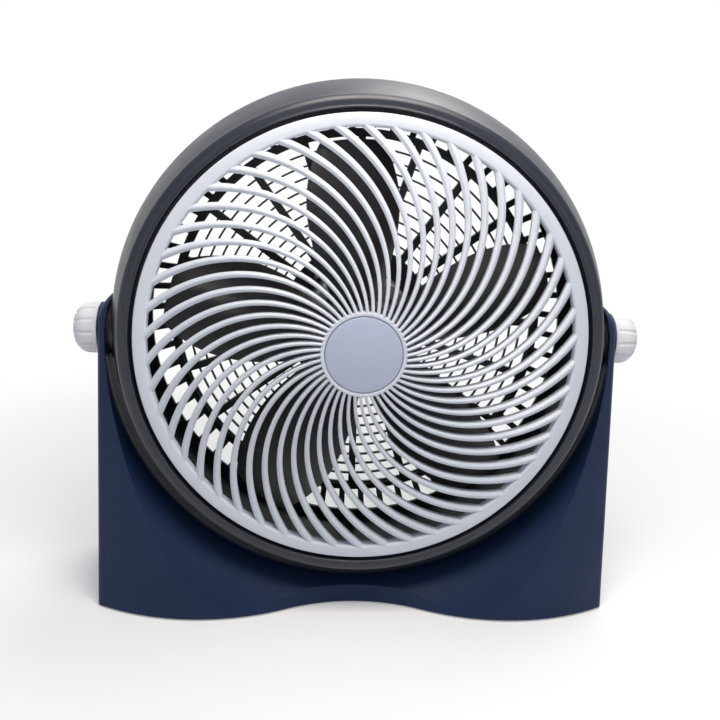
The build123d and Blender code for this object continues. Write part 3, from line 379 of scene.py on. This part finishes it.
# ---- shader helpers ----
def shader_tree(name):
    """A material with a lone Principled shader."""
    material = bpy.data.materials.new(name)
    material.use_nodes = True
    tree = material.node_tree
    shader = next(node for node in tree.nodes if node.type == "BSDF_PRINCIPLED")
    return material, tree, shader


def add(tree, kind, **values):
    """A node of this kind with these settings and input values."""
    node = tree.nodes.new("ShaderNode" + kind)
    for key, value in values.items():
        if hasattr(node, key):
            setattr(node, key, value)
        else:
            node.inputs[key.replace("_", " ")].default_value = value
    return node


def noise(tree, scale, detail):
    """Noise in the object's own space, so that it rides with the piece."""
    place = add(tree, "TexCoord")
    grain = add(tree, "TexNoise", Scale=scale, Detail=detail, Roughness=0.5)
    tree.links.new(place.outputs["Object"], grain.inputs["Vector"])
    return grain.outputs["Fac"]


def mapped(tree, value, span, new_span, interpolation="LINEAR"):
    """The value moved from one span to another, and held at its ends."""
    spread = add(tree, "MapRange", interpolation_type=interpolation, From_Min=span[0],
                 From_Max=span[1], To_Min=new_span[0], To_Max=new_span[1])
    tree.links.new(value, spread.inputs["Value"])
    return spread.outputs["Result"]


def tinted(tree, factor, first, second):
    """A colour between two, by the factor."""
    mix = add(tree, "Mix", data_type="RGBA")
    mix.inputs[6].default_value = (*first, 1)
    mix.inputs[7].default_value = (*second, 1)
    tree.links.new(factor, mix.inputs[0])
    return mix.outputs[2]


def maths(tree, operation, first, second):
    """The result of a Math node on two links, or on a link and a number."""
    node = add(tree, "Math", operation=operation)
    tree.links.new(first, node.inputs[0])
    if isinstance(second, float):
        node.inputs[1].default_value = second
    else:
        tree.links.new(second, node.inputs[1])
    return node.outputs[0]


def mixed(tree, factor, first, second):
    """A shader between two, by the factor."""
    mix = add(tree, "MixShader")
    for socket, link in zip(mix.inputs, (factor, first, second)):
        tree.links.new(link, socket)
    return mix.outputs[0]


# ---- kinds of material ----
def moulded_plastic(name, colour, roughness, grain=0.3, grain_size=0.4 * MM, vary=0.06,
                    specular=0.5, edge=0.6 * MM):
    """Moulded plastic: flow clouds, a fine grain, uneven gloss, and edges rounded by this much."""
    material, tree, shader = shader_tree(name)
    cloud = mapped(tree, noise(tree, CLOUD_SCALE, 4.0), NOISE_SPAN, (0, 1))
    dark = tuple(value * (1 - vary) for value in colour)
    light = tuple(value * (1 + vary) for value in colour)
    tree.links.new(tinted(tree, cloud, dark, light), shader.inputs["Base Color"])
    gloss = mapped(tree, noise(tree, GLOSS_SCALE, 3.0), NOISE_SPAN,
                   (roughness * GLOSS_SPREAD[0], roughness * GLOSS_SPREAD[1]))
    tree.links.new(gloss, shader.inputs["Roughness"])
    bump = add(tree, "Bump", Strength=grain, Distance=BUMP_HEIGHT)
    tree.links.new(noise(tree, 1 / grain_size, 2.0), bump.inputs["Height"])
    if edge:
        bevel = add(tree, "Bevel", samples=BEVEL_SAMPLES, Radius=edge)
        tree.links.new(bevel.outputs["Normal"], bump.inputs["Normal"])
    tree.links.new(bump.outputs["Normal"], shader.inputs["Normal"])
    shader.inputs["Specular IOR Level"].default_value = specular
    return material


def turned_metal(name, colour, roughness):
    """Turned or drawn metal, with fine scratches and uneven gloss."""
    material, tree, shader = shader_tree(name)
    shader.inputs["Metallic"].default_value = 1.0
    cloud = mapped(tree, noise(tree, METAL_CLOUD_SCALE, 4.0), NOISE_SPAN, (0, 1))
    dark = tuple(value * METAL_DARK for value in colour)
    tree.links.new(tinted(tree, cloud, dark, colour), shader.inputs["Base Color"])
    gloss = mapped(tree, noise(tree, METAL_GLOSS_SCALE, 3.0), NOISE_SPAN,
                   (roughness * METAL_GLOSS_SPREAD[0], roughness * METAL_GLOSS_SPREAD[1]))
    tree.links.new(gloss, shader.inputs["Roughness"])
    bump = add(tree, "Bump", Strength=METAL_GRAIN, Distance=BUMP_HEIGHT)
    tree.links.new(noise(tree, METAL_SCRATCH_SCALE, 2.0), bump.inputs["Height"])
    tree.links.new(bump.outputs["Normal"], shader.inputs["Normal"])
    return material


# ---- materials ----
def base_plastic():
    """Dark blue with a low sheen, and well rounded edges."""
    return moulded_plastic("base_plastic", colour=(0.011, 0.025, 0.076), roughness=0.46,
                           specular=0.22, edge=1.0 * MM)


def bezel_plastic():
    """Near black with a faint blue, smooth and rather shiny."""
    return moulded_plastic("bezel_plastic", colour=(0.014, 0.017, 0.03), roughness=0.38,
                           grain=0.12, specular=0.6)


def grille_plastic():
    """Pale cool grey, even and satin."""
    return moulded_plastic("grille_plastic", colour=(0.61, 0.65, 0.725), roughness=0.4,
                           grain=0.15, vary=0.02)


def cap_plastic():
    """Blue grey, darker than the grille."""
    return moulded_plastic("cap_plastic", colour=(0.42, 0.47, 0.6), roughness=0.45,
                           grain=0.15, vary=0.02, edge=0)


def guard_plastic():
    """Black and shiny."""
    return moulded_plastic("guard_plastic", colour=(0.026, 0.024, 0.028), roughness=0.35,
                           specular=0.7)


def propeller_plastic():
    """Very dark warm grey, smooth and shiny."""
    return moulded_plastic("propeller_plastic", colour=(0.046, 0.04, 0.042), roughness=0.32,
                           grain=0.05, specular=0.8, edge=0)


def cover_plastic():
    """Black with a coarse grain."""
    return moulded_plastic("cover_plastic", colour=(0.02, 0.02, 0.024), roughness=0.45,
                           grain=0.5)


def dial_plastic():
    """Black, a little shinier than the cover."""
    return moulded_plastic("dial_plastic", colour=(0.03, 0.03, 0.035), roughness=0.35)


def switch_plastic():
    """Dull dark grey."""
    return moulded_plastic("switch_plastic", colour=(0.04, 0.04, 0.045), roughness=0.55)


def knob_plastic():
    """Off-white and smooth."""
    return moulded_plastic("knob_plastic", colour=(0.78, 0.79, 0.83), roughness=0.35,
                           grain=0.12, vary=0.02)


def washer_plastic():
    """Dull black."""
    return moulded_plastic("washer_plastic", colour=(0.03, 0.03, 0.035), roughness=0.6)


def nylon():
    """Natural nylon, a warm off-white."""
    return moulded_plastic("nylon", colour=(0.78, 0.77, 0.72), roughness=0.5, vary=0.03)


def foot_rubber():
    """Matt black rubber with a coarse grain."""
    return moulded_plastic("foot_rubber", colour=(0.02, 0.02, 0.02), roughness=0.8, grain=0.6,
                           grain_size=0.8 * MM)


def wire_skin():
    """Red insulation."""
    return moulded_plastic("wire_skin", colour=(0.55, 0.08, 0.06), roughness=0.4)


def screw_steel():
    """Zinc-plated steel."""
    return turned_metal("screw_steel", colour=(0.55, 0.55, 0.57), roughness=0.3)


def shaft_steel():
    """Ground bright steel."""
    return turned_metal("shaft_steel", colour=(0.62, 0.62, 0.63), roughness=0.25)


def motor_iron():
    """Dull stacked iron."""
    return turned_metal("motor_iron", colour=(0.28, 0.28, 0.30), roughness=0.5)


def bell_aluminium():
    """Cast and turned aluminium."""
    return turned_metal("bell_aluminium", colour=(0.7, 0.7, 0.72), roughness=0.4)


def winding_copper():
    """Copper wire."""
    return turned_metal("winding_copper", colour=(0.72, 0.35, 0.16), roughness=0.35)


def make_materials():
    """One material for each slot of the record."""
    return {
        "base_plastic": base_plastic(),
        "bezel_plastic": bezel_plastic(),
        "grille_plastic": grille_plastic(),
        "cap_plastic": cap_plastic(),
        "guard_plastic": guard_plastic(),
        "propeller_plastic": propeller_plastic(),
        "cover_plastic": cover_plastic(),
        "dial_plastic": dial_plastic(),
        "switch_plastic": switch_plastic(),
        "knob_plastic": knob_plastic(),
        "washer_plastic": washer_plastic(),
        "nylon": nylon(),
        "foot_rubber": foot_rubber(),
        "wire_skin": wire_skin(),
        "screw_steel": screw_steel(),
        "shaft_steel": shaft_steel(),
        "motor_iron": motor_iron(),
        "bell_aluminium": bell_aluminium(),
        "winding_copper": winding_copper(),
    }


# ---- floor, light and camera ----
def white_from(tree, kind):
    """An Emission or Background node that shows as plain white."""
    node = add(tree, kind, Strength=1.0)
    node.inputs["Color"].default_value = WHITE
    return node


def floor_surface(tree, paint):
    """The paint with its shadow, a little brighter where it is seen, fading to white."""
    path = add(tree, "LightPath")
    seen = maths(tree, "MAXIMUM", path.outputs["Is Camera Ray"], path.outputs["Is Glossy Ray"])
    glow = white_from(tree, "Emission")
    tree.links.new(maths(tree, "MULTIPLY", seen, FLOOR_GLOW), glow.inputs["Strength"])
    near = add(tree, "AddShader")
    tree.links.new(paint, near.inputs[0])
    tree.links.new(glow.outputs[0], near.inputs[1])
    place = add(tree, "TexCoord")
    reach = add(tree, "VectorMath", operation="DISTANCE")
    reach.inputs[1].default_value = SHADOW_MIDDLE
    tree.links.new(place.outputs["Object"], reach.inputs[0])
    fade = mapped(tree, reach.outputs["Value"], SHADOW_REACH, (0, 1), "SMOOTHSTEP")
    far = white_from(tree, "Emission")
    return mixed(tree, maths(tree, "MULTIPLY", fade, seen), near.outputs[0], far.outputs[0])


def add_floor():
    """A pale floor that keeps the object's shadow and fades into the white round it."""
    points = [(-FLOOR_HALF, -FLOOR_HALF, 0), (FLOOR_HALF, -FLOOR_HALF, 0),
              (FLOOR_HALF, FLOOR_HALF, 0), (-FLOOR_HALF, FLOOR_HALF, 0)]
    floor = mesh_object("floor", points, [(0, 1, 2, 3)])
    material, tree, shader = shader_tree("floor_paint")
    shader.inputs["Base Color"].default_value = FLOOR_PAINT
    shader.inputs["Roughness"].default_value = FLOOR_ROUGHNESS
    shader.inputs["Specular IOR Level"].default_value = FLOOR_SPECULAR
    out = next(node for node in tree.nodes if node.type == "OUTPUT_MATERIAL")
    tree.links.new(floor_surface(tree, shader.outputs[0]), out.inputs["Surface"])
    floor.data.materials.append(material)


def add_world():
    """Ambient light for the object, and white where the camera or a reflection looks past it."""
    world = bpy.data.worlds.new("studio")
    bpy.context.scene.world = world
    world.use_nodes = True
    tree = world.node_tree
    tree.nodes.clear()
    out = add(tree, "OutputWorld")
    ambient = add(tree, "Background", Strength=AMBIENT)
    ambient.inputs["Color"].default_value = AMBIENT_COLOUR
    white = white_from(tree, "Background")
    path = add(tree, "LightPath")
    place = add(tree, "TexCoord")
    split = add(tree, "SeparateXYZ")
    tree.links.new(place.outputs["Generated"], split.inputs[0])
    behind = mapped(tree, split.outputs["Y"], MIRROR_FADE, (0, 1))
    mirrored = maths(tree, "MULTIPLY", path.outputs["Is Glossy Ray"], behind)
    seen = maths(tree, "MAXIMUM", path.outputs["Is Camera Ray"],
                 path.outputs["Is Transmission Ray"])
    either = maths(tree, "MAXIMUM", seen, mirrored)
    tree.links.new(mixed(tree, either, ambient.outputs[0], white.outputs[0]),
                   out.inputs["Surface"])


def add_lamp(name, place, size, power, colour):
    """A square soft box that looks at the middle of the grille."""
    data = bpy.data.lights.new(name, "AREA")
    data.size = size
    data.energy = power
    data.color = colour
    lamp = bpy.data.objects.new(name, data)
    bpy.context.scene.collection.objects.link(lamp)
    lamp.visible_camera = False
    lamp.location = place
    aim = Vector((0, 0, AXIS_Z)) - Vector(place)
    lamp.rotation_euler = aim.to_track_quat("-Z", "Y").to_euler()


def add_lamps():
    """A small lamp near the top of the grille, a large one overhead, and a weak one each side."""
    add_lamp("top", place=(0.02, -0.28, 0.64), size=0.3, power=2.75, colour=WARM)
    add_lamp("overhead", place=(0.45, 0.6, 1.6), size=1.0, power=12.5, colour=SOFT_WARM)
    add_lamp("fill_left", place=(-1.6, -0.9, 0.5), size=0.9, power=0.7, colour=COOL)
    add_lamp("fill_right", place=(1.6, -0.7, 0.6), size=0.9, power=0.7, colour=COOL)


def add_camera():
    """The camera at the photograph's viewing angle."""
    data = bpy.data.cameras.new("camera")
    data.lens = CAMERA_LENS
    data.sensor_width = SENSOR
    camera = bpy.data.objects.new("camera", data)
    turn = Matrix.Rotation(math.radians(-CAMERA_YAW), 4, "Z")
    turn = turn @ Matrix.Rotation(math.radians(90 - CAMERA_PITCH), 4, "X")
    turn = turn @ Matrix.Rotation(math.radians(CAMERA_ROLL), 4, "Z")
    camera.matrix_world = Matrix.Translation(CAMERA_PLACE) @ turn
    bpy.context.scene.collection.objects.link(camera)
    bpy.context.scene.camera = camera


def main():
    """Make the scene's own pieces, give each piece its material, and set the stage."""
    materials = make_materials()
    for piece in [front_grille()] + rear_markings():
        piece.data.materials.append(materials["grille_plastic"])
    hub_disc().data.materials.append(materials["cap_plastic"])
    slot_of = {sub["node"]: sub["material_slot"] for sub in frame["record"]["subparts"]}
    for name, node in frame["nodes"].items():
        node.data.materials.clear()
        node.data.materials.append(materials[slot_of[name]])
    add_floor()
    add_world()
    add_lamps()
    add_camera()


bpy.context.scene.view_settings.view_transform = "Standard"
main()
